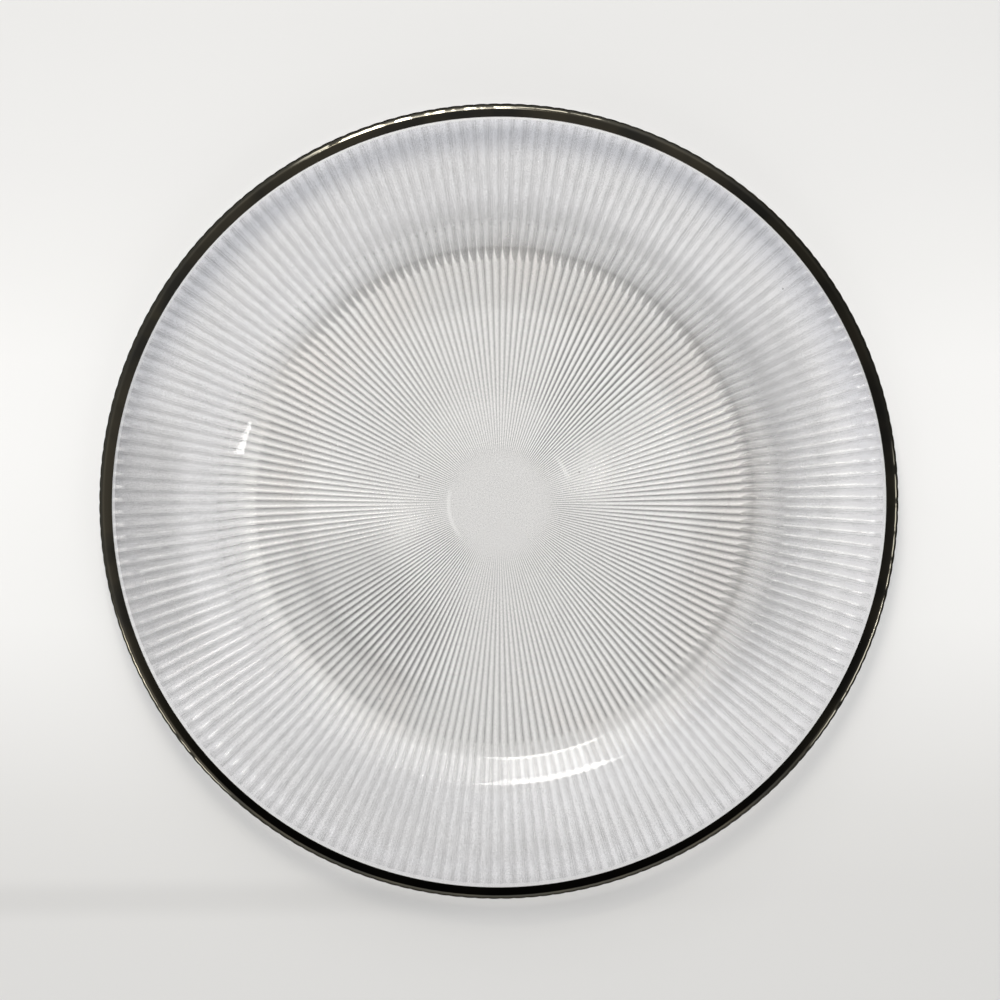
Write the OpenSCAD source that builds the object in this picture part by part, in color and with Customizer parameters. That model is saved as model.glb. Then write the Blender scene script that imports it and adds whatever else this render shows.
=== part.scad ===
// Charger plate of clear pressed glass, with ribs fanning out on its underside
// and a dark metal band fired over its rim.
// Millimetres, +Z up, origin on the table under the middle of the plate.

/* [Plate] */
// Diameter over the metal band
plate_d = 330; // [315:1:345]
// Height from the table to the top of the band
plate_h = 19; // [18:0.5:22]
// Glass between the top surface and the bottoms of the grooves
glass_t = 4.2; // [3.4:0.1:4.6]

/* [Well] */
// Diameter of the flat floor of the well
well_d = 211; // [200:1:216]
// Radius of the fillet between the floor and the shoulder
fillet_r = 5; // [3:0.5:8]
// Slope of the straight part of the shoulder, in degrees
shoulder_slope = 36; // [32:1:42]
// Radius of the bend from the shoulder over to the flange
shoulder_r = 11; // [9:0.5:14]

/* [Flange] */
// Slope of the flange, in degrees
flange_slope = 9; // [6:0.5:10]
// Steepest slope of the curl where the flange turns up to the lip, in degrees
curl_slope = 20; // [14:1:24]
// Radius of the curl's hollow part
curl_in_r = 18; // [12:1:24]
// Radius of the curl's rounded part
curl_out_r = 13; // [10:1:16]
// Width of the level lip, rounded edge included
lip_w = 7.8; // [6:0.2:9]
// Radius of the lip's rounded outer edge
lip_r = 1.8; // [1:0.1:2.4]

/* [Ribs] */
// Number of ribs on the underside
rib_count = 190; // [150:1:200]
// Depth of the grooves between the ribs, from the edge of the well outwards
rib_depth = 0.8; // [0.4:0.05:0.9]
// Diameter of the plain disc at the middle of the underside
plain_d = 42; // [30:1:60]

/* [Band] */
// Width of the metal band on top of the lip
band_w = 5; // [3:0.1:5.5]
// Thickness of the metal band
band_t = 0.2; // [0.1:0.05:0.3]

/* [Hidden] */

wall_r = plate_d / 2 - band_t;
well_r = well_d / 2;
plain_r = plain_d / 2;
floor_z = glass_t + rib_depth;
lip_z = plate_h - band_t;
waste_z = -glass_t;

// Steps along each bend: fine on the smooth top, coarser on the ribbed underside
top_steps = 6;
rib_steps = 2;
edge_steps = 6;
circle_steps = 2 * rib_count;
rib_turn = 360 / rib_count;

// How far out and how far up a bend of some radius goes between two slopes
function bend_run(radius, from, to) = radius * abs(sin(to) - sin(from));
function bend_rise(radius, from, to) = radius * abs(cos(to) - cos(from));

// Stations on the top surface, as [radius, height, slope]. The lip and the curl
// are set from the rim inwards, the fillet from the well outwards, and the
// straight part of the shoulder is as long as it takes to meet the flange.
lip_start = [wall_r - lip_w, lip_z, 0];
curl_top = [
    lip_start[0] - bend_run(curl_out_r, curl_slope, 0),
    lip_start[1] - bend_rise(curl_out_r, curl_slope, 0),
    curl_slope
];
curl_foot = [
    curl_top[0] - bend_run(curl_in_r, flange_slope, curl_slope),
    curl_top[1] - bend_rise(curl_in_r, flange_slope, curl_slope),
    flange_slope
];
floor_edge = [well_r, floor_z, 0];
shoulder_foot = [
    well_r + bend_run(fillet_r, 0, shoulder_slope),
    floor_z + bend_rise(fillet_r, 0, shoulder_slope),
    shoulder_slope
];
over_run = bend_run(shoulder_r, shoulder_slope, flange_slope);
over_rise = bend_rise(shoulder_r, shoulder_slope, flange_slope);
straight_run =
    (
        curl_foot[1] - shoulder_foot[1] - over_rise
            - (curl_foot[0] - shoulder_foot[0] - over_run) * tan(flange_slope)
    ) / (tan(shoulder_slope) - tan(flange_slope));
shoulder_head = [
    shoulder_foot[0] + straight_run,
    shoulder_foot[1] + straight_run * tan(shoulder_slope),
    shoulder_slope
];
flange_start = [shoulder_head[0] + over_run, shoulder_head[1] + over_rise, flange_slope];

// The stations along the bend from station a to station b, after the first one
function bend(a, b, radius, steps) = [
    for (i = [1:steps])
        let (slope = a[2] + (b[2] - a[2]) * i / steps)
        [
            a[0] + bend_run(radius, a[2], slope),
            a[1] + bend_rise(radius, a[2], slope),
            slope
        ]
];

// All the stations from the edge of the floor out to the lip
function stations(steps) = concat(
    [floor_edge],
    bend(floor_edge, shoulder_foot, fillet_r, steps),
    [shoulder_head],
    bend(shoulder_head, flange_start, shoulder_r, steps),
    [curl_foot],
    bend(curl_foot, curl_top, curl_in_r, steps),
    bend(curl_top, lip_start, curl_out_r, steps)
);

// The point at a depth below a station, square to the surface there
function below(station, depth) = [
    station[0] + depth * sin(station[2]),
    station[1] - depth * cos(station[2])
];

// The lip's rounded edge, from its top round to the outer wall, at a radius
function lip_edge(radius) = [
    for (i = [0:edge_steps])
        let (turn = 90 * i / edge_steps)
        [wall_r - lip_r + radius * sin(turn), lip_z - lip_r + radius * cos(turn)]
];

// The top surface's outline, from the middle of the floor to the lip
function top_outline() = concat(
    [[0, floor_z]],
    [for (station = stations(top_steps)) below(station, 0)]
);

// The ribbed underside's outline at a crest (full depth) or in a groove (none)
function rib_outline(depth) = concat(
    [[plain_r, 0]],
    [for (station = stations(rib_steps)) below(station, glass_t + depth)],
    [[wall_r + glass_t, lip_z - glass_t - depth]]
);

// One outline of the underside turned to a place round the plate
function turned(outline, turn) = [
    for (p = outline) [p[0] * cos(turn), p[0] * sin(turn), p[1]]
];

// Everything under the ribbed underside, which is cut away from the glass
module below_ribs() {
    crest = rib_outline(rib_depth);
    groove = rib_outline(0);
    rows = len(crest);
    foot = [[wall_r + glass_t, 2 * waste_z]];
    points = [
        for (i = [0:rib_count - 1])
            for (p = concat(
                turned(concat(crest, foot), i * rib_turn),
                turned(concat(groove, foot), (i + 1 / 2) * rib_turn)
            )) p
    ];
    function at(column, row) = (column % circle_steps) * (rows + 1) + row;
    polyhedron(
        points,
        concat(
            [[for (c = [circle_steps - 1:-1:0]) at(c, 0)]],
            [[for (c = [0:circle_steps - 1]) at(c, rows)]],
            [
                for (c = [0:circle_steps - 1])
                    for (r = [0:rows - 1])
                        [at(c, r), at(c + 1, r), at(c + 1, r + 1)]
            ],
            [
                for (c = [0:circle_steps - 1])
                    for (r = [0:rows - 1])
                        [at(c, r), at(c + 1, r + 1), at(c, r + 1)]
            ]
        )
    );
}

// The pressed glass: smooth on top, ribbed underneath
module glass_plate() {
    color([0.86, 0.88, 0.89, 0.6])
        difference() {
            rotate_extrude($fn = circle_steps)
                polygon(concat(
                    top_outline(),
                    lip_edge(lip_r),
                    [[wall_r, waste_z], [0, waste_z]]
                ));
            below_ribs();
        }
}

// The metal band: a skin over the lip and down the outer wall to the grooves
module rim_band() {
    inner_r = plate_d / 2 - band_w;
    hem_z = lip_z - glass_t;
    inner_edge = lip_edge(lip_r);
    color([0.2, 0.19, 0.17])
        rotate_extrude($fn = circle_steps)
            polygon(concat(
                [[inner_r, lip_z], [inner_r, plate_h]],
                lip_edge(lip_r + band_t),
                [[plate_d / 2, hem_z], [wall_r, hem_z]],
                [for (i = [edge_steps:-1:0]) inner_edge[i]]
            ));
}

glass_plate();
rim_band();
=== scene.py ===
import math

import bpy
from mathutils import Matrix, Quaternion, Vector


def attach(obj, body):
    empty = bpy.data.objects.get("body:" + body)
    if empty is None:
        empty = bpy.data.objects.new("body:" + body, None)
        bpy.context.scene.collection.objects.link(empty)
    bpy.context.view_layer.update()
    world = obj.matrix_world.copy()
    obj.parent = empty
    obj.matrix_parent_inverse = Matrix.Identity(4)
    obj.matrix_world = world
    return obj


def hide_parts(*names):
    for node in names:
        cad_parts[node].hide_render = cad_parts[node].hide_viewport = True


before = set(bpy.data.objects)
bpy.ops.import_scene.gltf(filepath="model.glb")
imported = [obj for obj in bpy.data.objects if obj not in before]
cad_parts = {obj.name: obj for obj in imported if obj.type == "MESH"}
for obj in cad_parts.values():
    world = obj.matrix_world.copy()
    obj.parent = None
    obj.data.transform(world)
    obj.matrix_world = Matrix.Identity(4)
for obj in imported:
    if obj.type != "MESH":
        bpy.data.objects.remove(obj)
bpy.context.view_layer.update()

mm = 0.001
weldDistance = 0.002 * mm


# Small helpers

def selectNothing():
    bpy.ops.object.select_all(action="DESELECT")


def enterEdit(piece):
    bpy.context.view_layer.objects.active = piece
    piece.select_set(True)
    bpy.ops.object.mode_set(mode="EDIT")
    bpy.ops.mesh.select_mode(type="VERT")
    bpy.ops.mesh.select_all(action="SELECT")


def leaveEdit():
    bpy.ops.object.mode_set(mode="OBJECT")


def drawOutline(name, points):
    # A plane shrunk to one point, which is then extruded from place to place
    selectNothing()
    bpy.ops.mesh.primitive_plane_add(size=mm, location=(0, 0, 0))
    piece = bpy.context.object
    piece.name = name
    piece.data.name = name
    enterEdit(piece)
    bpy.ops.mesh.merge(type="CENTER")
    bpy.ops.transform.translate(value=points[0])
    for here, there in zip(points, points[1:]):
        step = Vector(there) - Vector(here)
        bpy.ops.mesh.extrude_region_move(TRANSFORM_OT_translate={"value": step})
    leaveEdit()
    return piece


def weld():
    bpy.ops.mesh.select_all(action="SELECT")
    bpy.ops.mesh.remove_doubles(threshold=weldDistance)


# Nodes

def addNode(tree, kind, settings=None, **values):
    # Inputs are filled by name, or by place as in0, in1 and so on
    node = tree.nodes.new(kind)
    for name, value in (settings or {}).items():
        setattr(node, name, value)
    for name, value in values.items():
        socket = node.inputs[int(name[2:])] if name.startswith("in") else node.inputs[name]
        if isinstance(value, bpy.types.NodeSocket):
            tree.links.new(value, socket)
        else:
            socket.default_value = value
    return node


def mathNode(tree, operation, *values):
    inputs = {f"in{place}": value for place, value in enumerate(values)}
    return addNode(tree, "ShaderNodeMath", {"operation": operation}, **inputs).outputs[0]


def product(tree, *values):
    result = values[0]
    for value in values[1:]:
        result = mathNode(tree, "MULTIPLY", result, value)
    return result


def smoothStep(tree, value, start, end, low=0.0, high=1.0):
    node = addNode(tree, "ShaderNodeMapRange", {"interpolation_type": "SMOOTHSTEP"},
                   in0=value, in1=start, in2=end, in3=low, in4=high)
    return node.outputs[0]


def scaled(tree, colour, share):
    node = addNode(tree, "ShaderNodeVectorMath", {"operation": "SCALE"}, in0=colour, Scale=share)
    return node.outputs[0]


def colourRamp(tree, value, stops):
    node = addNode(tree, "ShaderNodeValToRGB", in0=value)
    ramp = node.color_ramp
    while len(ramp.elements) < len(stops):
        ramp.elements.new(0.5)
    for element, (place, colour) in zip(ramp.elements, stops):
        element.position = place
        element.color = (*colour, 1.0)
    return node.outputs["Color"]


def mixNumbers(tree, factor, a, b):
    node = addNode(tree, "ShaderNodeMix", {"data_type": "FLOAT"}, in0=factor, in2=a, in3=b)
    return node.outputs[0]


def mixColours(tree, factor, a, b):
    # A colour is a socket or three numbers
    a, b = ((*colour, 1.0) if isinstance(colour, tuple) else colour for colour in (a, b))
    node = addNode(tree, "ShaderNodeMix", {"data_type": "RGBA"}, in0=factor, in6=a, in7=b)
    return node.outputs[2]


def newMaterial(name):
    material = bpy.data.materials.new(name)
    material.use_nodes = True
    material.node_tree.nodes.clear()
    return material, material.node_tree


def finishMaterial(tree, shader):
    output = addNode(tree, "ShaderNodeOutputMaterial")
    tree.links.new(shader, output.inputs["Surface"])


def giveMaterial(piece, material):
    piece.data.materials.clear()
    piece.data.materials.append(material)


# Handling marks: broad smears and fine grain, used by the glass and by the metal

def makeHandlingMarks():
    group = bpy.data.node_groups.new("handlingMarks", "ShaderNodeTree")
    sockets = group.interface
    sockets.new_socket("Vector", in_out="INPUT", socket_type="NodeSocketVector")
    for name, value in (("Smear Scale", 12.0), ("Grain Scale", 900.0)):
        made = sockets.new_socket(name, in_out="INPUT", socket_type="NodeSocketFloat")
        made.default_value = value
    for name in ("Smears", "Grain"):
        sockets.new_socket(name, in_out="OUTPUT", socket_type="NodeSocketFloat")
    start = group.nodes.new("NodeGroupInput")
    end = group.nodes.new("NodeGroupOutput")
    smear = addNode(group, "ShaderNodeTexNoise", Vector=start.outputs["Vector"],
                    Scale=start.outputs["Smear Scale"], Detail=3.0, Roughness=0.55)
    grain = addNode(group, "ShaderNodeTexNoise", Vector=start.outputs["Vector"],
                    Scale=start.outputs["Grain Scale"], Detail=2.0, Roughness=0.6)
    group.links.new(smear.outputs["Fac"], end.inputs["Smears"])
    group.links.new(grain.outputs["Fac"], end.inputs["Grain"])
    return group


def addMarks(tree, place, smearScale, grainScale):
    node = tree.nodes.new("ShaderNodeGroup")
    node.node_tree = handlingMarks
    tree.links.new(place, node.inputs["Vector"])
    node.inputs["Smear Scale"].default_value = smearScale
    node.inputs["Grain Scale"].default_value = grainScale
    return node.outputs["Smears"], node.outputs["Grain"]


def placeOnPlate(tree):
    # Object coordinates, and how far out and how far round the plate a point is
    coordinates = addNode(tree, "ShaderNodeTexCoord")
    place = coordinates.outputs["Object"]
    parts = addNode(tree, "ShaderNodeSeparateXYZ", in0=place)
    x, y = parts.outputs[0], parts.outputs[1]
    flat = addNode(tree, "ShaderNodeCombineXYZ", in0=x, in1=y)
    length = addNode(tree, "ShaderNodeVectorMath", {"operation": "LENGTH"}, in0=flat.outputs[0])
    return {
        "place": place, "x": x, "y": y, "outward": flat.outputs[0],
        "radius": length.outputs["Value"], "turn": mathNode(tree, "ARCTAN2", y, x),
        "normal": coordinates.outputs["Normal"],
    }


def turnedTo(tree, turn, towards, start, full, low=0.0, high=1.0):
    # From low to high as a place nears one turn round the plate. start and full are cosines of
    # how far round it still is: 1 is there, and -1 is the far side
    shifted = mathNode(tree, "SUBTRACT", turn, math.radians(towards))
    return smoothStep(tree, mathNode(tree, "COSINE", shifted), start, full, low, high)


handlingMarks = makeHandlingMarks()
print("helpers and the handling marks group are ready")


# Clear pressed glass

glassPlate = {
    # Sizes, in millimetres and degrees
    "wallRadius": 164.8,
    "lipHeight": 18.8,
    "thickness": 4.2,                        # top surface to groove
    "wellRadius": 105.5,
    "filletRadius": 5.0,
    "shoulderSlope": 36.0,
    "shoulderRadius": 11.0,
    "flangeSlope": 9.0,
    "curlSlope": 20.0,
    "curlInRadius": 18.0,
    "curlOutRadius": 13.0,
    "lipWidth": 7.8,
    "lipRadius": 2.3,
    "ribCount": 190,
    "ribDepth": 0.8,
    "ribScallop": 0.2,                       # how far a groove bites into the outer wall
    "plainRadius": 21.0,
    # Faces across one rib, and rows of them
    "ribColumns": 8,
    "wellRows": 6,
    "topSteps": 6,
    "underSteps": 3,
    "lipSteps": 6,
    "smoothUpTo": 35.0,                      # degrees between two faces

    # From here on, places are in metres from the middle and turns in degrees round the plate
    "tint": (0.985, 0.985, 0.995),
    "wellTint": (1.0, 0.995, 0.98),
    "wellTintEnds": (0.100, 0.125),
    "warmTint": (1.0, 0.955, 0.915),         # in patches, near the edge of the well
    "warmSmears": (0.42, 0.62),
    "warmFrom": (0.070, 0.095),
    "rimTint": (0.955, 0.955, 0.98),         # painted bluish shade where the flange curls up
    "rimTintFrom": (0.140, 0.154),
    "farCurlShadeTint": (0.915, 0.93, 1.0),          # deeper painted bluish shade on the far side
    "farCurlShadeTurn": (85.0, -0.1, 0.6),
    "ior": 1.5,
    "smearScale": 14.0,
    "grainScale": 2000.0,
    "roughSmears": (0.35, 0.75),
    "topRoughness": (0.0, 0.03),
    "ribRoughness": (0.22, 0.30),            # the pressed ribs shine more softly
    "swayScale": 28.0,                       # slow waves in the surface
    "swayHeight": 0.25,
    "grainHeight": 0.03,                     # on the plain disc, and hardly anywhere else
    "grainEnds": (0.017, 0.024, 1.0, 0.05),
    "bumpHeight": 0.2,                       # millimetres
    # Light that the top lets through, and the ribs: square to it, slanted and grazing
    "topShadow": (0.98, 0.98, 0.985),
    "ribShadow": ((0.0, (1.0, 1.0, 1.0)), (0.30, (0.88, 0.88, 0.885)),
                  (0.70, (0.30, 0.30, 0.31))),
    "gathered": (1.06, 1.10),                # the ribs gather light under the well and the flange
    "gatheredFrom": (0.100, 0.115),
    "roomLight": (0.97, 0.97, 0.975),

    # Painted shade standing in for the light and shade the ribs throw on the table below: where
    # in a rib (0 and 1 are its grooves, a half its crest) it falls, and how dark
    "wellRib": ((0.00, 0.72), (0.04, 0.60), (0.08, 0.34), (0.13, 0.44), (0.22, 0.30),
                (0.32, 0.15), (0.42, 0.05), (0.52, 0.02), (0.62, 0.00), (0.72, 0.06),
                (0.82, 0.25), (0.90, 0.48), (0.96, 0.64), (1.00, 0.72)),
    "flangeRib": ((0.00, 0.26), (0.03, 0.20), (0.06, 0.06), (0.10, 0.20), (0.16, 0.25),
                  (0.25, 0.18), (0.34, 0.07), (0.42, 0.00), (0.62, 0.00), (0.70, 0.09),
                  (0.80, 0.13), (0.90, 0.11), (0.955, 0.14), (0.985, 0.26), (1.00, 0.26)),
    "mirrorTurn": (315.0, 0.3, 0.8),         # where the slow side of a well rib's painted shade is the other one
    # The well's ribs end in tongues of painted shade at the shoulder, and a thin painted bright
    # line runs on from each
    "tongue": ((0.30, 0.0), (0.50, 0.22), (0.60, 0.62), (0.68, 1.0), (0.76, 0.62), (0.86, 0.15),
               (0.98, 0.0)),
    "tongueLength": 0.0075,
    "shoulder": (0.1006, 0.1026),
    "tonguePart": (0.62, 0.95),              # the part of a tongue that is bright
    "brightLine": (0.106, 0.120, 0.9, 0.0),
    # How strongly the painted rib shade shows, by turn as the lamps fall across the ribs, as a
    # share of the strongest
    "sweep": ((0, 0.94), (15, 0.66), (30, 0.59), (48, 0.86), (62, 0.80), (90, 0.49), (105, 0.46),
              (135, 0.81), (150, 0.88), (180, 0.61), (195, 0.52), (225, 0.72), (255, 0.42),
              (270, 0.48), (300, 0.79), (315, 0.98), (345, 0.91), (360, 0.94)),
    "strongest": 1.4,
    "flangeSweep": 1.25,
    "ribsFrom": (0.0165, 0.028),
    # Two patches where the painted rib shade is stronger still: turn, how narrow, by how much
    "wedges": ((54.0, 0.925, 0.99, 0.60), (232.0, 0.86, 0.985, 0.78)),
    "wedgeEnds": (0.078, 0.094),
    "wedgeTwist": 10.0,                      # how far they turn back near the middle
    "twistEnds": (0.034, 0.052),
    "level": 0.885,                          # what the plain glass lets through
    "evened": 0.20,                          # so that stronger ribs don't darken the glass
    "shadowShare": 0.55,
    # A ring of painted shade outside the shoulder
    "ringDark": 0.42,
    "ringTurn": (55.0, -0.7, 0.5),
    "ringEnds": (0.104, 0.114),
    # Soft shades: the turn they face, how narrow, from and to which radius, how much darker
    "shades": ((35.0, -0.26, 0.50, 0.103, 0.107, 0.118, 0.132, 0.21),
               (2.0, 0.70, 0.95, 0.112, 0.120, 0.134, 0.146, 0.15),
               (186.0, 0.90, 0.99, 0.128, 0.142, 0.168, 0.170, 0.25),
               (0.0, -3.0, -2.0, 0.106, 0.112, 0.168, 0.170, 0.045),      # all the way round
               (210.0, 0.20, 0.90, 0.112, 0.120, 0.134, 0.142, 0.05),
               (35.0, -0.60, 0.10, 0.134, 0.146, 0.168, 0.170, -0.09),
               (285.0, 0.80, 0.97, 0.114, 0.124, 0.135, 0.148, -0.08),
               (45.0, 0.0, 0.60, 0.078, 0.086, 0.100, 0.104, 0.10),
               (205.0, 0.55, 0.85, 0.078, 0.086, 0.100, 0.104, 0.10),
               (216.0, 0.79, 0.965, 0.040, 0.060, 0.084, 0.094, 0.15),
               (80.0, 0.0, 0.60, 0.022, 0.028, 0.040, 0.050, -0.06)),
    # Fine streaks along the ribs, fainter in the well
    "streakDark": 0.14,
    "streakScale": 190.0,
    "streakChange": 0.8,                     # how soon they change on the way out
    "streakRange": (0.40, 0.70),
    "streakShares": (0.35, 1.0),
    "stippleDark": 0.17,
    "stippleRange": (0.36, 0.66),
    "rimLine": (0.1585, 0.1588),             # a painted bright line along the band
    "rimLineLevel": 0.95,
    # Painted glints on the edge of the plain disc: radius, turn, how narrow
    "glints": ((0.0214, 192.0, 0.80), (0.0305, 30.0, 0.975)),
    "glintWidth": (0.0001, 0.0014, 0.6, 0.0),
    # A few dark specks in the glass
    "speckScale": 60.0,
    "speckRare": 0.975,
    "speckEdge": (0.014, 0.030),
    "speckDark": 0.60,
    "darkest": 0.02,
}
ribPitch = 2 * math.pi / glassPlate["ribCount"]


def bendRun(radius, slopeA, slopeB):
    return radius * abs(math.sin(math.radians(slopeB)) - math.sin(math.radians(slopeA)))


def bendRise(radius, slopeA, slopeB):
    return radius * abs(math.cos(math.radians(slopeB)) - math.cos(math.radians(slopeA)))


def bendStations(start, end, radius, steps):
    made = []
    for i in range(1, steps + 1):
        slope = start[2] + (end[2] - start[2]) * i / steps
        made.append((start[0] + bendRun(radius, start[2], slope),
                     start[1] + bendRise(radius, start[2], slope), slope))
    return made


def topStations(steps):
    # Radius, height and slope of the smooth top surface, from the well's edge to the lip
    s = glassPlate
    floorHeight = s["thickness"] + s["ribDepth"]
    lipStart = (s["wallRadius"] - s["lipWidth"], s["lipHeight"], 0.0)
    curlTop = (lipStart[0] - bendRun(s["curlOutRadius"], s["curlSlope"], 0),
               lipStart[1] - bendRise(s["curlOutRadius"], s["curlSlope"], 0), s["curlSlope"])
    curlFoot = (curlTop[0] - bendRun(s["curlInRadius"], s["flangeSlope"], s["curlSlope"]),
                curlTop[1] - bendRise(s["curlInRadius"], s["flangeSlope"], s["curlSlope"]),
                s["flangeSlope"])
    floorEdge = (s["wellRadius"], floorHeight, 0.0)
    foot = (s["wellRadius"] + bendRun(s["filletRadius"], 0, s["shoulderSlope"]),
            floorHeight + bendRise(s["filletRadius"], 0, s["shoulderSlope"]), s["shoulderSlope"])
    overRun = bendRun(s["shoulderRadius"], s["shoulderSlope"], s["flangeSlope"])
    overRise = bendRise(s["shoulderRadius"], s["shoulderSlope"], s["flangeSlope"])
    steep = math.tan(math.radians(s["shoulderSlope"]))
    gentle = math.tan(math.radians(s["flangeSlope"]))
    straight = (curlFoot[1] - foot[1] - overRise
                - (curlFoot[0] - foot[0] - overRun) * gentle) / (steep - gentle)
    head = (foot[0] + straight, foot[1] + straight * steep, s["shoulderSlope"])
    flangeStart = (head[0] + overRun, head[1] + overRise, s["flangeSlope"])
    return ([floorEdge] + bendStations(floorEdge, foot, s["filletRadius"], steps) + [head]
            + bendStations(head, flangeStart, s["shoulderRadius"], steps) + [curlFoot]
            + bendStations(curlFoot, curlTop, s["curlInRadius"], steps)
            + bendStations(curlTop, lipStart, s["curlOutRadius"], steps))


def lipRound(radius, steps):
    # The rounded outer edge, with how far round it each point is
    s = glassPlate
    centre = (s["wallRadius"] - s["lipRadius"], s["lipHeight"] - s["lipRadius"])
    turns = [math.pi / 2 * i / steps for i in range(steps + 1)]
    return [(centre[0] + radius * math.sin(t), centre[1] + radius * math.cos(t), t)
            for t in turns]


def scallopedRound(radius, steps):
    # The same as rows, whose grooves bite in more and more towards the outer wall
    return [(r, z, 0, 0, glassPlate["ribScallop"] * math.sin(t) ** 2)
            for r, z, t in lipRound(radius, steps)]


# A row is radius, height, how far its crest moves out and down, and how far its groove moves in
def glassRows():
    s = glassPlate
    rows = [(0, s["thickness"] + s["ribDepth"], 0, 0, 0)]
    rows += [(r, z, 0, 0, 0) for r, z, slope in topStations(s["topSteps"])]
    rows += scallopedRound(s["lipRadius"], s["lipSteps"])
    rows.append((s["wallRadius"], s["lipHeight"] - s["thickness"], 0, s["ribDepth"],
                 s["ribScallop"]))
    for r, z, slope in reversed(topStations(s["underSteps"])):
        lean = math.radians(slope)
        rows.append((r + s["thickness"] * math.sin(lean), z - s["thickness"] * math.cos(lean),
                     s["ribDepth"] * math.sin(lean), s["ribDepth"] * math.cos(lean), 0))
    for i in range(s["wellRows"] - 1, -1, -1):
        share = i / s["wellRows"]
        rows.append((s["plainRadius"] + (s["wellRadius"] - s["plainRadius"]) * share,
                     s["ribDepth"] * share, 0, s["ribDepth"] * share, 0))
    rows.append((0, 0, 0, 0, 0))
    return rows


def spinRibbed(name, rows):
    # One rib is spun, shaped, and copied round the plate
    half = ribPitch / 2
    points = [(row[0] * mm * math.cos(half), row[0] * mm * math.sin(half), row[1] * mm)
              for row in rows]
    piece = drawOutline(name, points)
    enterEdit(piece)
    bpy.ops.mesh.spin(steps=glassPlate["ribColumns"], dupli=False, angle=ribPitch,
                      center=(0, 0, 0), axis=(0, 0, 1))
    weld()
    leaveEdit()
    for vertex in piece.data.vertices:
        x, y, z = vertex.co
        radius, turn = math.hypot(x, y), math.atan2(y, x)
        row = min(rows, key=lambda row: (row[0] * mm - radius) ** 2 + (row[1] * mm - z) ** 2)
        # 0 on the crest and a half in the groove
        across = turn / ribPitch - round(turn / ribPitch)
        crest = 1 - (2 * across) ** 2
        radius += (row[2] * crest - row[4] * (1 - crest)) * mm
        vertex.co = (radius * math.cos(turn), radius * math.sin(turn), z - row[3] * crest * mm)
    enterEdit(piece)
    others = glassPlate["ribCount"] - 1
    bpy.ops.mesh.spin(steps=others, dupli=True, angle=ribPitch * others,
                      center=(0, 0, 0), axis=(0, 0, 1))
    weld()
    bpy.ops.mesh.normals_make_consistent(inside=False)
    leaveEdit()
    selectNothing()
    piece.select_set(True)
    bpy.context.view_layer.objects.active = piece
    bpy.ops.object.shade_smooth_by_angle(angle=math.radians(glassPlate["smoothUpTo"]))
    return piece


def darkProfile(tree, value, stops):
    return colourRamp(tree, value, [(place, (dark, dark, dark)) for place, dark in stops])


def lightLeft(tree, dark, strength):
    # 1 where nothing is dark, less where it is
    return mathNode(tree, "SUBTRACT", 1.0, mathNode(tree, "MULTIPLY", dark, strength))


def ribShape(tree, at, inRib):
    # How much painted shade each place in a rib gets, and where the flange takes over from the
    # well
    look = glassPlate
    oneWay = darkProfile(tree, inRib, look["wellRib"])
    otherWay = darkProfile(tree, mathNode(tree, "SUBTRACT", 1.0, inRib), look["wellRib"])
    mirror = turnedTo(tree, at["turn"], *look["mirrorTurn"])
    wellDark = mixNumbers(tree, mirror, oneWay, otherWay)
    flangeDark = darkProfile(tree, inRib, look["flangeRib"])
    tongue = darkProfile(tree, inRib, look["tongue"])
    reach = mathNode(tree, "MULTIPLY_ADD", tongue, -look["tongueLength"], at["radius"])
    outside = smoothStep(tree, reach, *look["shoulder"])
    return mixNumbers(tree, outside, wellDark, flangeDark), outside


def ribStrength(tree, at, outside):
    # How strongly the painted rib shade shows
    look = glassPlate
    roundPlate = mathNode(tree, "FRACT", mathNode(tree, "DIVIDE", at["turn"], 2 * math.pi))
    sweep = mathNode(tree, "MULTIPLY", look["strongest"], darkProfile(
        tree, roundPlate, [(turn / 360, share) for turn, share in look["sweep"]]))
    flangeSweep = mathNode(tree, "MULTIPLY", sweep, look["flangeSweep"])
    inner = smoothStep(tree, at["radius"], *look["wedgeEnds"], 1.0, 0.0)
    twist = smoothStep(tree, at["radius"], *look["twistEnds"], math.radians(look["wedgeTwist"]),
                       0.0)
    twisted = mathNode(tree, "ADD", at["turn"], twist)
    for turn, start, full, more in look["wedges"]:
        patch = turnedTo(tree, twisted, turn, start, full, 0.0, more)
        sweep = mathNode(tree, "ADD", sweep, mathNode(tree, "MULTIPLY", patch, inner))
    sweep = mixNumbers(tree, outside, sweep, flangeSweep)
    return mathNode(tree, "MULTIPLY", sweep, smoothStep(tree, at["radius"], *look["ribsFrom"]))


def streaksAlong(tree, at, outside):
    look = glassPlate
    along = scaled(tree, at["outward"], mathNode(tree, "DIVIDE", 1.0, at["radius"]))
    lift = addNode(tree, "ShaderNodeCombineXYZ",
                   in2=mathNode(tree, "MULTIPLY", at["radius"], look["streakChange"]))
    place = addNode(tree, "ShaderNodeVectorMath", {"operation": "ADD"}, in0=along,
                    in1=lift.outputs[0])
    streaks = addNode(tree, "ShaderNodeTexNoise", Vector=place.outputs[0],
                      Scale=look["streakScale"], Detail=3.0, Roughness=0.65)
    shown = smoothStep(tree, streaks.outputs["Fac"], *look["streakRange"])
    return mathNode(tree, "MULTIPLY", shown, mixNumbers(tree, outside, *look["streakShares"]))


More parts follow.
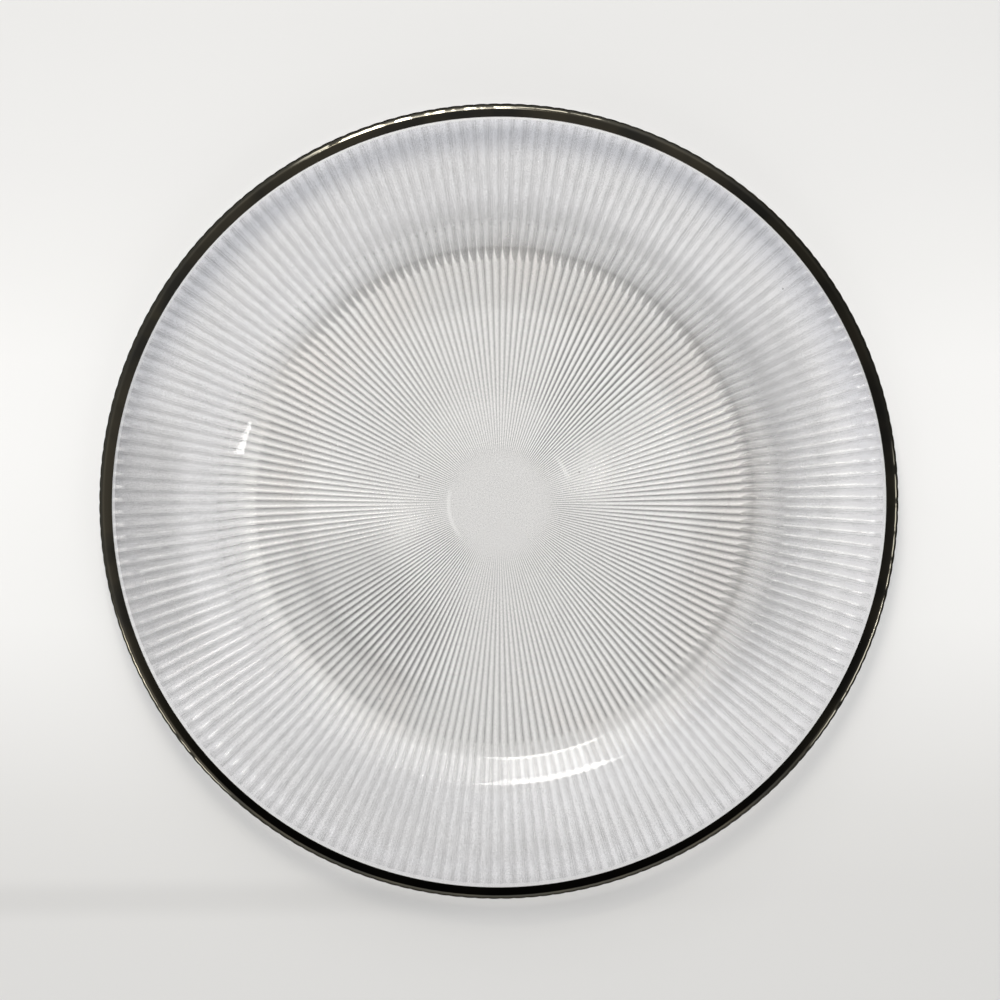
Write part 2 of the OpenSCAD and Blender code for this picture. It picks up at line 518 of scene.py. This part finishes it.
def paintedHighlights(tree, at, inRib, outside, seen):
    # Painted highlights: the bright lines that run on from the tongues, the glints and the bright
    # line along the band
    look = glassPlate
    tip = smoothStep(tree, darkProfile(tree, inRib, look["tongue"]), *look["tonguePart"])
    line = product(tree, tip, outside, smoothStep(tree, at["radius"], *look["brightLine"]))
    seen = mixNumbers(tree, line, seen, 1.0)
    for radius, turn, narrow in look["glints"]:
        off = mathNode(tree, "ABSOLUTE", mathNode(tree, "SUBTRACT", at["radius"], radius))
        arc = mathNode(tree, "MULTIPLY", smoothStep(tree, off, *look["glintWidth"]),
                       turnedTo(tree, at["turn"], turn, narrow, 1.0))
        seen = mixNumbers(tree, arc, seen, 1.0)
    rim = smoothStep(tree, at["radius"], *look["rimLine"])
    return mixNumbers(tree, rim, seen, look["rimLineLevel"])


def darkSpecks(tree, at):
    look = glassPlate
    cells = addNode(tree, "ShaderNodeTexVoronoi", {"voronoi_dimensions": "2D"},
                    Vector=at["place"], Scale=look["speckScale"])
    pick = addNode(tree, "ShaderNodeSeparateColor", in0=cells.outputs["Color"]).outputs[0]
    return mathNode(tree, "MULTIPLY", mathNode(tree, "GREATER_THAN", pick, look["speckRare"]),
                    smoothStep(tree, cells.outputs["Distance"], *look["speckEdge"], 1.0, 0.0))


def ribPattern(tree, at, grain):
    # The painted shade and highlights of the ribs as the eye sees them, and how much light they
    # leave on the table
    look = glassPlate
    phase = mathNode(tree, "MULTIPLY_ADD", at["turn"], 1 / ribPitch, 0.5)
    inRib = mathNode(tree, "FRACT", phase)
    shape, outside = ribShape(tree, at, inRib)
    strength = ribStrength(tree, at, outside)
    dark = mathNode(tree, "MULTIPLY", shape, strength)
    cast = lightLeft(tree, dark, look["shadowShare"])
    even = mathNode(tree, "MULTIPLY_ADD", strength, look["evened"], 1.0)
    seen = mathNode(tree, "MULTIPLY", mathNode(tree, "SUBTRACT", even, dark), look["level"])
    # Painted shade: a darker ring outside the shoulder
    ring = product(tree, outside, smoothStep(tree, at["radius"], *look["ringEnds"], 1.0, 0.0),
                   turnedTo(tree, at["turn"], *look["ringTurn"]))
    darkened = [(ring, look["ringDark"]),
                (streaksAlong(tree, at, outside), look["streakDark"]),
                (smoothStep(tree, grain, *look["stippleRange"]), look["stippleDark"])]
    for turn, start, full, inFrom, inTo, outFrom, outTo, darker in look["shades"]:
        shade = product(tree, smoothStep(tree, at["radius"], inFrom, inTo),
                        smoothStep(tree, at["radius"], outFrom, outTo, 1.0, 0.0),
                        turnedTo(tree, at["turn"], turn, start, full))
        darkened.append((shade, darker))
    for share, darker in darkened:
        seen = mathNode(tree, "MULTIPLY", seen, lightLeft(tree, share, darker))
    seen = paintedHighlights(tree, at, inRib, outside, seen)
    speckLeft = lightLeft(tree, darkSpecks(tree, at), look["speckDark"])
    seen = mathNode(tree, "MULTIPLY", seen, speckLeft)
    seen = mathNode(tree, "MAXIMUM", mathNode(tree, "MINIMUM", seen, 1.0), look["darkest"])
    # Squared, because each side of the glass tints light by the root of its colour
    return mathNode(tree, "MULTIPLY", seen, seen), cast


def makeClearGlass(name, ribbed):
    look = glassPlate
    material, tree = newMaterial(name)
    at = placeOnPlate(tree)
    smears, grain = addMarks(tree, at["place"], look["smearScale"], look["grainScale"])
    roughness = smoothStep(tree, smears, *look["roughSmears"],
                           *look["ribRoughness" if ribbed else "topRoughness"])
    sway = addNode(tree, "ShaderNodeTexNoise", Vector=at["place"], Scale=look["swayScale"],
                   Detail=1.0)
    onDisc = smoothStep(tree, at["radius"], *look["grainEnds"])
    height = mathNode(tree, "ADD",
                      mathNode(tree, "MULTIPLY", sway.outputs["Fac"], look["swayHeight"]),
                      product(tree, grain, onDisc, look["grainHeight"]))
    bump = addNode(tree, "ShaderNodeBump", Strength=1.0, Distance=look["bumpHeight"] * mm,
                   Height=height)
    inWell = smoothStep(tree, at["radius"], *look["wellTintEnds"], 1.0, 0.0)
    tint = mixColours(tree, inWell, look["tint"], look["wellTint"])
    if ribbed:
        # The underside's colour carries the ribs' painted shade and highlights
        seen, cast = ribPattern(tree, at, grain)
        warm = product(tree, smoothStep(tree, smears, *look["warmSmears"]),
                       smoothStep(tree, at["radius"], *look["warmFrom"]), inWell)
        tint = scaled(tree, mixColours(tree, warm, tint, look["warmTint"]), seen)
        # Lamps shine through the glass, less where a rib leans away from them
        lean = addNode(tree, "ShaderNodeLayerWeight", Blend=0.5)
        through = colourRamp(tree, lean.outputs["Facing"], look["ribShadow"])
        gain = smoothStep(tree, at["radius"], *look["gatheredFrom"], *look["gathered"])
        through = scaled(tree, through, mathNode(tree, "MULTIPLY", gain, cast))
    else:
        # Painted bluish shade on the curl, deeper on the far side, up to a painted bright line
        # along the band
        through = (*look["topShadow"], 1.0)
        far = turnedTo(tree, at["turn"], *look["farCurlShadeTurn"])
        curlShadeColour = mixColours(tree, far, look["rimTint"], look["farCurlShadeTint"])
        curl = smoothStep(tree, at["radius"], *look["rimTintFrom"])
        tint = mixColours(tree, curl, tint, curlShadeColour)
        # Painted highlight: the glass just inside the band is lightened to white
        rim = smoothStep(tree, at["radius"], *look["rimLine"])
        tint = mixColours(tree, rim, tint, (1.0, 1.0, 1.0))
    glass = addNode(tree, "ShaderNodeBsdfPrincipled", Normal=bump.outputs["Normal"])
    glass.inputs["Transmission Weight"].default_value = 1.0
    glass.inputs["IOR"].default_value = look["ior"]
    tree.links.new(tint, glass.inputs["Base Color"])
    tree.links.new(roughness, glass.inputs["Roughness"])
    lampLight = addNode(tree, "ShaderNodeBsdfTransparent", Color=through)
    roomLight = addNode(tree, "ShaderNodeBsdfTransparent", Color=(*look["roomLight"], 1.0))
    rays = addNode(tree, "ShaderNodeLightPath")
    lit = addNode(tree, "ShaderNodeMixShader", in0=rays.outputs["Is Shadow Ray"],
                  in1=glass.outputs[0], in2=lampLight.outputs[0])
    both = addNode(tree, "ShaderNodeMixShader", in0=rays.outputs["Is Diffuse Ray"],
                   in1=lit.outputs[0], in2=roomLight.outputs[0])
    finishMaterial(tree, both.outputs[0])
    return material


glassPiece = spinRibbed("clearGlassPlate", glassRows())
giveMaterial(glassPiece, makeClearGlass("smoothPressedGlass", False))
glassPiece.data.materials.append(makeClearGlass("ribbedPressedGlass", True))
for face in glassPiece.data.polygons:
    face.material_index = int(face.normal.z < -0.1)    # the underside has the ribs
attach(glassPiece, "root")
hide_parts("glass_plate")
print("glass plate:", len(glassPiece.data.polygons), "faces")


# Dark lustre band

rimBand = {
    # Sizes, in millimetres
    "innerRadius": 159.5,
    "film": 0.2,
    "sunk": 0.02,                            # into the glass, so that no two faces share a place
    "edgeRound": 0.08,
    "hemDrop": 0.4,                          # how far the hem follows the rib ends down
    "extraSteps": 2,                         # round the lip, on top of the glass's own

    # Colours, and where they start and end by the normal's z
    "metal": (0.110, 0.098, 0.072),
    "darker": (0.060, 0.058, 0.050),         # in patches
    "turning": (0.055, 0.052, 0.042),        # painted shade where it rounds over
    "turningEnds": (0.97, 0.88),
    "edge": (0.010, 0.010, 0.009),           # painted shade on the steep outer side
    "edgeEnds": (0.66, 0.50),
    "darkSide": (8.0, 0.50, 0.90),           # painted shade on one side: its turn and how narrow it is
    "darkSideDarker": 0.62,
    "highlightColour": (1.0, 0.93, 0.74),               # painted highlight: bright lustre where the lamps' reflections fall
    # Its turn, how narrow it is, and the normal's z where it starts and ends
    "highlightLines": ((345.0, 0.90, 0.97, 0.85, 0.935), (212.0, 0.955, 0.99, 0.79, 0.88),
                  (104.0, 0.950, 0.985, 0.87, 0.98), (85.0, 0.975, 0.99, 0.88, 0.93)),
    "highlightSoft": 0.02,
    "highlightNoiseScale": 130.0,
    "highlightBreaks": (0.38, 0.50),
    "grazing": (0.30, 0.30, 0.28),
    "smearScale": 40.0,
    "grainScale": 2200.0,
    "darkPatches": (0.38, 0.66),
    "roughSmears": (0.3, 0.7),
    "roughness": (0.01, 0.05),
    "bumpHeight": 0.1,                       # millimetres
    "bumpStrength": 0.12,
}


def bandRows():
    s, b = glassPlate, rimBand
    top = s["lipHeight"] + b["film"]
    under = s["lipHeight"] - b["sunk"]
    hem = s["lipHeight"] - s["thickness"]
    rows = [(b["innerRadius"], under, 0, 0, 0),
            (b["innerRadius"], top - b["edgeRound"], 0, 0, 0),
            (b["innerRadius"] + b["edgeRound"], top, 0, 0, 0)]
    rows += scallopedRound(s["lipRadius"] + b["film"], s["lipSteps"] + b["extraSteps"])
    rows.append((s["wallRadius"] + b["film"], hem, 0, b["hemDrop"], s["ribScallop"]))
    rows.append((s["wallRadius"] - b["sunk"], hem, 0, b["hemDrop"], s["ribScallop"]))
    rows += reversed(scallopedRound(s["lipRadius"] - b["sunk"], s["lipSteps"]))
    return rows + [rows[0]]


def makeDarkLustre():
    look = rimBand
    material, tree = newMaterial("darkLustre")
    at = placeOnPlate(tree)
    smears, grain = addMarks(tree, at["place"], look["smearScale"], look["grainScale"])
    patches = smoothStep(tree, smears, *look["darkPatches"])
    colour = mixColours(tree, patches, look["metal"], look["darker"])
    upright = addNode(tree, "ShaderNodeSeparateXYZ", in0=at["normal"]).outputs[2]
    # Painted shade: darker where the band rounds over, on its steep outer side and on one side
    turning = smoothStep(tree, upright, *look["turningEnds"])
    colour = mixColours(tree, turning, colour, look["turning"])
    steep = smoothStep(tree, upright, *look["edgeEnds"])
    colour = mixColours(tree, steep, colour, look["edge"])
    side = turnedTo(tree, at["turn"], *look["darkSide"])
    colour = scaled(tree, colour, lightLeft(tree, side, look["darkSideDarker"]))
    # Painted highlights: bright lines of lustre where the lamps' reflections fall, broken up by
    # noise
    highlightNoise = addNode(tree, "ShaderNodeTexNoise", Vector=at["place"], Scale=look["highlightNoiseScale"],
                     Detail=3.0)
    broken = smoothStep(tree, highlightNoise.outputs["Fac"], *look["highlightBreaks"])
    soft = look["highlightSoft"]
    for turn, start, full, low, high in look["highlightLines"]:
        line = product(tree, smoothStep(tree, upright, low - soft, low + soft),
                       smoothStep(tree, upright, high + soft, high - soft),
                       turnedTo(tree, at["turn"], turn, start, full), broken)
        colour = mixColours(tree, line, colour, look["highlightColour"])
    roughness = smoothStep(tree, smears, *look["roughSmears"], *look["roughness"])
    bump = addNode(tree, "ShaderNodeBump", Strength=look["bumpStrength"],
                   Distance=look["bumpHeight"] * mm, Height=grain)
    metal = addNode(tree, "ShaderNodeBsdfPrincipled", Normal=bump.outputs["Normal"])
    metal.inputs["Metallic"].default_value = 1.0
    metal.inputs["Specular Tint"].default_value = (*look["grazing"], 1.0)
    tree.links.new(colour, metal.inputs["Base Color"])
    tree.links.new(roughness, metal.inputs["Roughness"])
    finishMaterial(tree, metal.outputs[0])
    return material


bandPiece = spinRibbed("darkLustreBand", bandRows())
giveMaterial(bandPiece, makeDarkLustre())
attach(bandPiece, "root")
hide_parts("rim_band")
print("metal band:", len(bandPiece.data.polygons), "faces")


# Table

tableLook = {               # metres, with Y away from the viewer
    "size": 12.0,
    "drop": 0.15 * mm,      # under the plate
    "under": (0.92, 0.92, 0.915),            # one even tone, whatever light falls past it
    "underEnds": (0.158, 0.170),
    # Painted light falloff: brightest across the middle, darker towards the front and back
    "colour": ((-0.200, (0.738, 0.736, 0.726)), (-0.165, (0.738, 0.735, 0.724)),
               (-0.130, (0.768, 0.765, 0.753)), (-0.090, (0.830, 0.828, 0.818)),
               (-0.050, (0.895, 0.895, 0.885)), (0.020, (0.912, 0.912, 0.904)),
               (0.060, (0.898, 0.898, 0.891)), (0.100, (0.842, 0.842, 0.834)),
               (0.140, (0.797, 0.797, 0.792)), (0.200, (0.757, 0.757, 0.752))),
    # A soft painted shadow strip in front, which fades out to the right
    "shadowStripY": -0.168,
    "shadowStripWidth": (0.001, 0.011),
    "shadowStripFade": (-0.03, 0.13),
    "shadowStripDark": 0.075,
    "fade": (0.55, 1.6),    # from here out the table fades into the backdrop
    "backdrop": (0.90, 0.90, 0.895),
}


def makeTableTop():
    look = tableLook
    material, tree = newMaterial("paleTable")
    at = placeOnPlate(tree)
    first, last = look["colour"][0][0], look["colour"][-1][0]
    span = last - first
    # Painted light falloff along Y
    share = mathNode(tree, "MULTIPLY_ADD", at["y"], 1 / span, -first / span)
    colour = colourRamp(tree, share, [((y - first) / span, tone) for y, tone in look["colour"]])
    # Painted shadow strip in front of the plate
    off = mathNode(tree, "ABSOLUTE", mathNode(tree, "SUBTRACT", at["y"], look["shadowStripY"]))
    shadowStrip = mathNode(tree, "MULTIPLY", smoothStep(tree, off, *look["shadowStripWidth"], 1.0, 0.0),
                     smoothStep(tree, at["x"], *look["shadowStripFade"], 1.0, 0.0))
    colour = scaled(tree, colour, lightLeft(tree, shadowStrip, look["shadowStripDark"]))
    around = smoothStep(tree, at["radius"], *look["underEnds"])
    colour = mixColours(tree, around, look["under"], colour)
    chalk = addNode(tree, "ShaderNodeBsdfDiffuse", Color=colour).outputs[0]
    far = addNode(tree, "ShaderNodeEmission", Color=(*look["backdrop"], 1.0), Strength=1.0)
    away = smoothStep(tree, at["radius"], *look["fade"])
    faded = addNode(tree, "ShaderNodeMixShader", in0=away, in1=chalk, in2=far.outputs[0])
    rays = addNode(tree, "ShaderNodeLightPath")
    seen = mathNode(tree, "MAXIMUM", rays.outputs["Is Camera Ray"], rays.outputs["Is Glossy Ray"])
    seen = mathNode(tree, "MAXIMUM", seen, rays.outputs["Is Transmission Ray"])
    mixed = addNode(tree, "ShaderNodeMixShader", in0=seen, in1=chalk, in2=faded.outputs[0])
    finishMaterial(tree, mixed.outputs[0])
    return material


selectNothing()
bpy.ops.mesh.primitive_plane_add(size=tableLook["size"], location=(0, 0, 0))
table = bpy.context.object
table.name = "tableTop"
enterEdit(table)
bpy.ops.transform.translate(value=(0, 0, -tableLook["drop"]))
leaveEdit()
giveMaterial(table, makeTableTop())
print("table is down")


# Studio

studioLights = {            # degrees, metres, and how bright each panel looks
    "softPanel": {"azimuth": 99, "offVertical": 36, "distance": 1.7, "size": (0.50, 0.90),
                  "radiance": 5.5, "colour": (1.0, 0.995, 0.985)},
    "lowPanel": {"azimuth": 99, "offVertical": 60, "distance": 1.7, "size": (0.50, 0.35),
                 "radiance": 2.4, "colour": (1.0, 0.995, 0.985)},
    "warmLampHigh": {"azimuth": 101, "offVertical": 30, "distance": 1.6, "size": (0.36, 0.08),
                     "radiance": 18.0, "colour": (1.0, 0.93, 0.81)},
    "warmLampLow": {"azimuth": 101, "offVertical": 38, "distance": 1.6, "size": (0.42, 0.08),
                    "radiance": 18.0, "colour": (1.0, 0.93, 0.81)},
    "rightWindow": {"azimuth": 339.0, "offVertical": 65.53, "distance": 2.2,
                    "size": (0.24, 0.02), "radiance": 10.0, "colour": (1.0, 0.99, 0.97),
                    "roll": 5.1},
    "leftWindow": {"azimuth": 205, "offVertical": 82, "distance": 2.2, "size": (0.5, 0.35),
                   "radiance": 1.5, "colour": (1.0, 0.95, 0.86)},
}


def addPanel(name, look):
    lean, turn = math.radians(look["offVertical"]), math.radians(look["azimuth"])
    towards = Vector((math.sin(lean) * math.cos(turn), math.sin(lean) * math.sin(turn),
                      math.cos(lean)))
    lamp = bpy.data.lights.new(name, "AREA")
    lamp.shape = "RECTANGLE"
    lamp.size, lamp.size_y = look["size"]
    lamp.energy = look["radiance"] * math.pi * look["size"][0] * look["size"][1]
    lamp.color = look["colour"]
    panel = bpy.data.objects.new(name, lamp)
    bpy.context.scene.collection.objects.link(panel)
    panel.location = towards * look["distance"]
    facing = towards.to_track_quat("Z", "Y")
    roll = Quaternion((0, 0, 1), math.radians(look.get("roll", 0.0)))
    panel.rotation_euler = (facing @ roll).to_euler()


for name, look in studioLights.items():
    addPanel(name, look)


worldLook = {
    # From the horizon to straight overhead, by how far up a direction points
    "sky": ((0.12, (0.90, 0.90, 0.895)), (0.35, (1.22, 1.22, 1.225)), (0.60, (1.22, 1.22, 1.225)),
            (0.76, (0.92, 0.925, 0.94)), (1.0, (0.30, 0.295, 0.29))),
    "sides": 0.55,                  # how bright the room is to the left and right
    "sideEnds": (0.30, 0.75),
    "sidesFrom": (0.05, 0.25),      # the horizon is as bright all round
    "shade": (0.02, 0.02, 0.02),    # the dim patch of ceiling, towards the front
    "shadeTowards": (0.02, -0.40, 1.0),
    "shadeEdge": (0.945, 0.985),
}


def makeWorld():
    look = worldLook
    world = bpy.data.worlds.new("softRoom")
    world.use_nodes = True
    tree = world.node_tree
    tree.nodes.clear()
    direction = addNode(tree, "ShaderNodeTexCoord").outputs["Generated"]
    parts = addNode(tree, "ShaderNodeSeparateXYZ", in0=direction)
    sideways, up = parts.outputs[0], parts.outputs[2]
    sky = colourRamp(tree, up, look["sky"])
    close = addNode(tree, "ShaderNodeVectorMath", {"operation": "DOT_PRODUCT"}, in0=direction,
                    in1=Vector(look["shadeTowards"]).normalized())
    dim = smoothStep(tree, close.outputs["Value"], *look["shadeEdge"])
    colour = mixColours(tree, dim, sky, look["shade"])
    side = smoothStep(tree, mathNode(tree, "ABSOLUTE", sideways), *look["sideEnds"], 1.0,
                      look["sides"])
    side = mixNumbers(tree, smoothStep(tree, up, *look["sidesFrom"]), 1.0, side)
    background = addNode(tree, "ShaderNodeBackground", Color=scaled(tree, colour, side),
                         Strength=1.0)
    output = addNode(tree, "ShaderNodeOutputWorld")
    tree.links.new(background.outputs[0], output.inputs["Surface"])
    bpy.context.scene.world = world


makeWorld()

cameraLook = {
    "distance": 1.10,
    "lean": (-2.0, 6.0),    # degrees towards +X and +Y from straight above
    "frameWidth": 0.4118,   # at the rim's height
    "target": (0.0, 0.0, 0.019),
    "shift": (-0.0011, 0.0079),
}


def addCamera():
    look = cameraLook
    lens = bpy.data.cameras.new("photoCamera")
    camera = bpy.data.objects.new("photoCamera", lens)
    bpy.context.scene.collection.objects.link(camera)
    side, front = (math.tan(math.radians(a)) for a in look["lean"])
    back = Vector((side, front, 1.0)).normalized()
    right = Vector((0, 1, 0)).cross(back).normalized()
    up = back.cross(right)
    camera.location = Vector(look["target"]) + back * look["distance"]
    camera.rotation_euler = Matrix((right, up, back)).transposed().to_euler()
    lens.sensor_width = 36.0
    lens.lens = lens.sensor_width * look["distance"] / look["frameWidth"]
    lens.shift_x, lens.shift_y = look["shift"]
    lens.clip_start = 0.01
    lens.dof.use_dof = False
    bpy.context.scene.camera = camera


addCamera()
bpy.context.scene.view_settings.view_transform = "Standard"
print("lights, room and camera are set")
